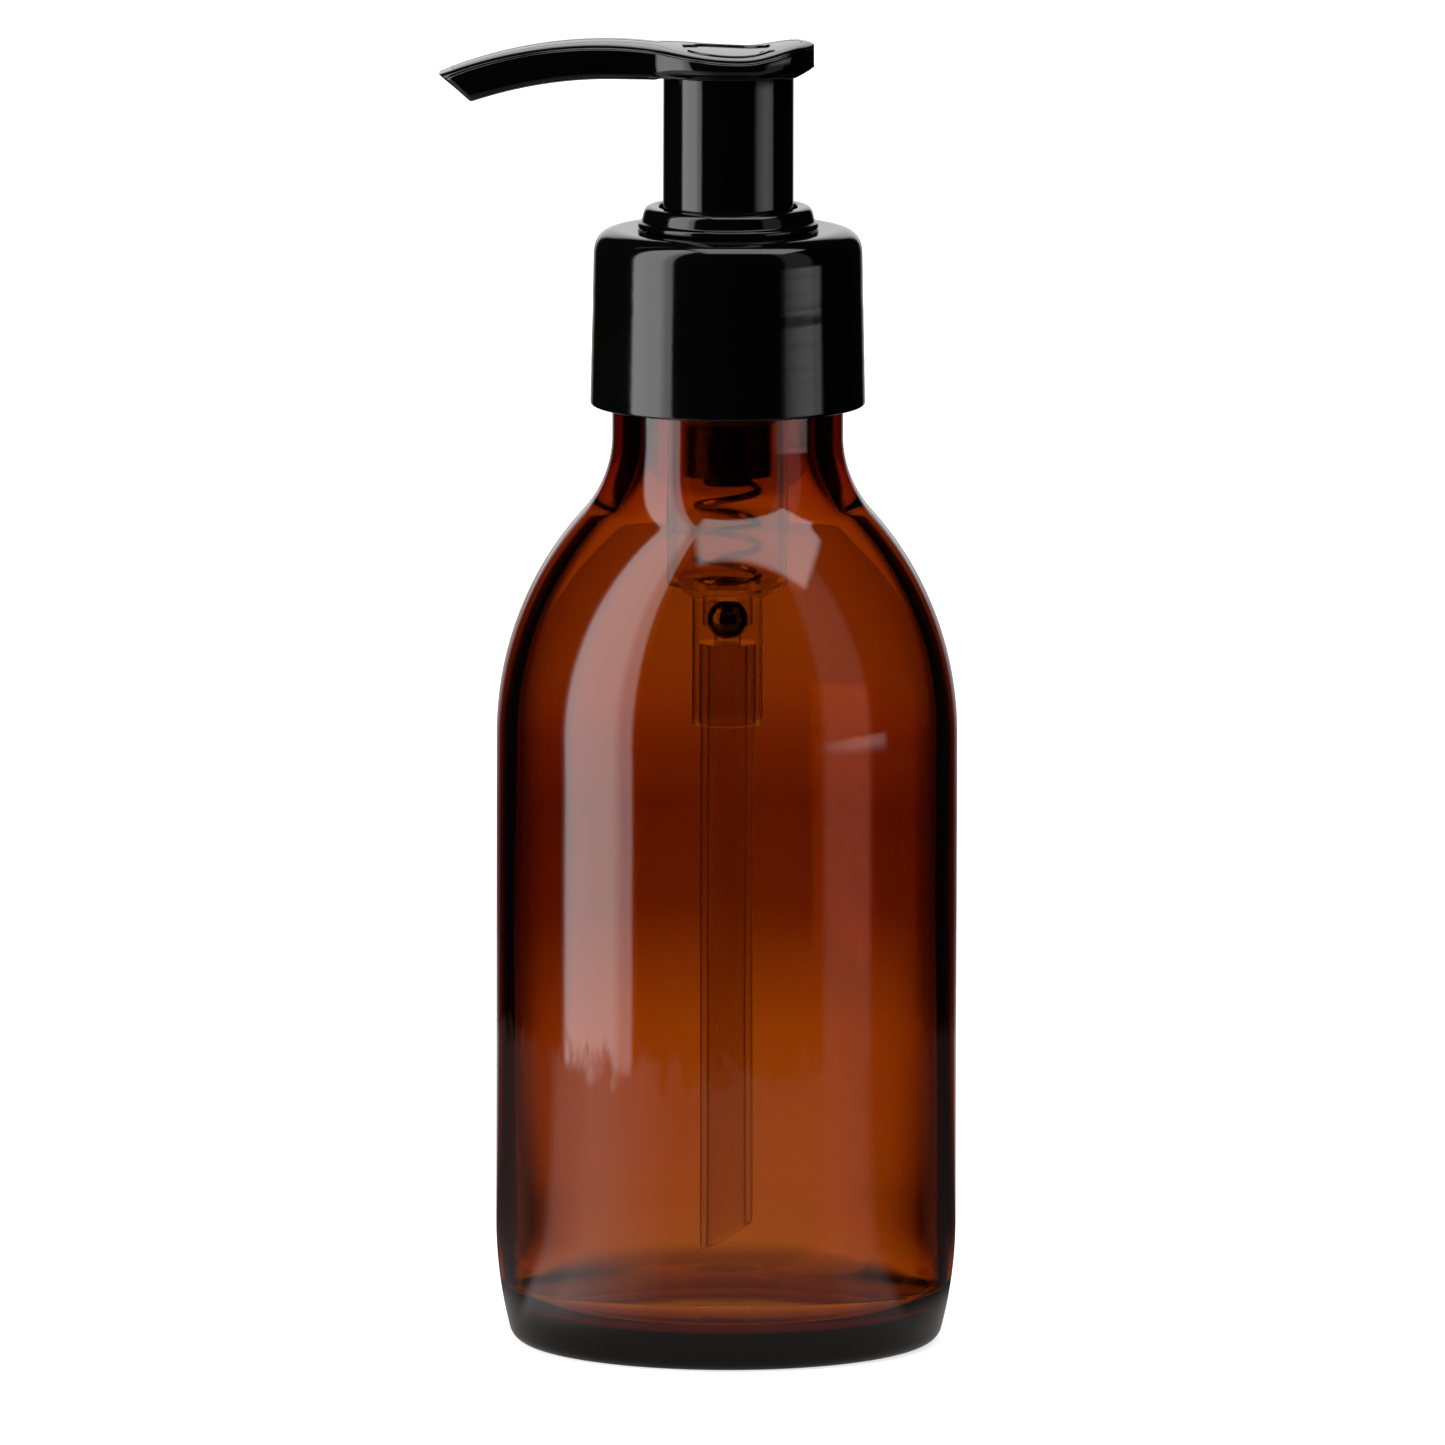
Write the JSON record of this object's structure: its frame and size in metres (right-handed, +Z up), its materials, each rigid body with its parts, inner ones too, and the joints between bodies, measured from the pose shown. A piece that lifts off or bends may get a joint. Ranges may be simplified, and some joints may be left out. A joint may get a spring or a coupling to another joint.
{
  "type": "soap pump dispenser",
  "caption": "Round-shouldered amber glass bottle with a black screw-on lotion pump: arched spout head with a dished thumb pad, smooth sleeve, lock ring and collar.",
  "frame": {"origin": "centre of the bottle's bearing ring, on the bottle's axis", "axes": "+Z up along the bottle's axis, -X towards the spout's tip, +Y to complete the right-handed frame"},
  "size_m": [0.0591, 0.0524, 0.1493],
  "materials": {
    "amber_glass": "blown amber soda-lime glass, fire-polished",
    "black_plastic": "black polypropylene, gloss moulded",
    "natural_plastic": "natural polypropylene, milky and translucent",
    "tube_plastic": "natural polyethylene, extruded and translucent",
    "piston_plastic": "natural low-density polyethylene, waxy",
    "gasket_foam": "white foamed polyethylene",
    "spring_steel": "drawn stainless wire",
    "ball_steel": "polished stainless ball"
  },
  "bodies": {
    "bottle": {"glass_bottle": "amber_glass"},
    "pump_body": {"pump_housing": "natural_plastic", "neck_gasket": "gasket_foam", "lock_ring": "black_plastic", "dip_tube": "tube_plastic", "return_spring": "spring_steel"},
    "collar": {"screw_collar": "black_plastic"},
    "plunger": {"valve_plug": "black_plastic"},
    "head": {"stem": "black_plastic", "head_sleeve": "black_plastic", "head_body": "black_plastic", "head_cover": "black_plastic"},
    "piston": {"piston": "piston_plastic"},
    "ball": {"check_ball": "ball_steel"}
  },
  "joints": [
    {"name": "pump_rise", "type": "slide", "parent": "bottle", "child": "pump_body", "axis": [0, 0, 1], "range_m": [0, 0.00634]},
    {"name": "collar_unscrew", "type": "hinge", "parent": "pump_body", "child": "collar", "pos_m": [0, 0, 0.1178], "axis": [0, 0, 1], "range_deg": [0, 540]},
    {"name": "head_press", "type": "slide", "parent": "pump_body", "child": "plunger", "axis": [0, 0, -1], "range_m": [0, 0.012], "stiffness_N_per_m": 900, "deforming": ["return_spring"]},
    {"name": "head_turn", "type": "hinge", "parent": "plunger", "child": "head", "pos_m": [0, 0, 0.137], "axis": [0, 0, 1], "range_deg": [0, 90]},
    {"name": "piston_slip", "type": "slide", "parent": "plunger", "child": "piston", "axis": [0, 0, 1], "range_m": [0, 0.0008]},
    {"name": "ball_lift", "type": "slide", "parent": "pump_body", "child": "ball", "axis": [0, 0, 1], "range_m": [0, 0.0008]}
  ],
  "couplings": [
    {"joint": "collar_unscrew", "follows": "pump_rise", "rad_per_m": 1485.4}
  ]
}
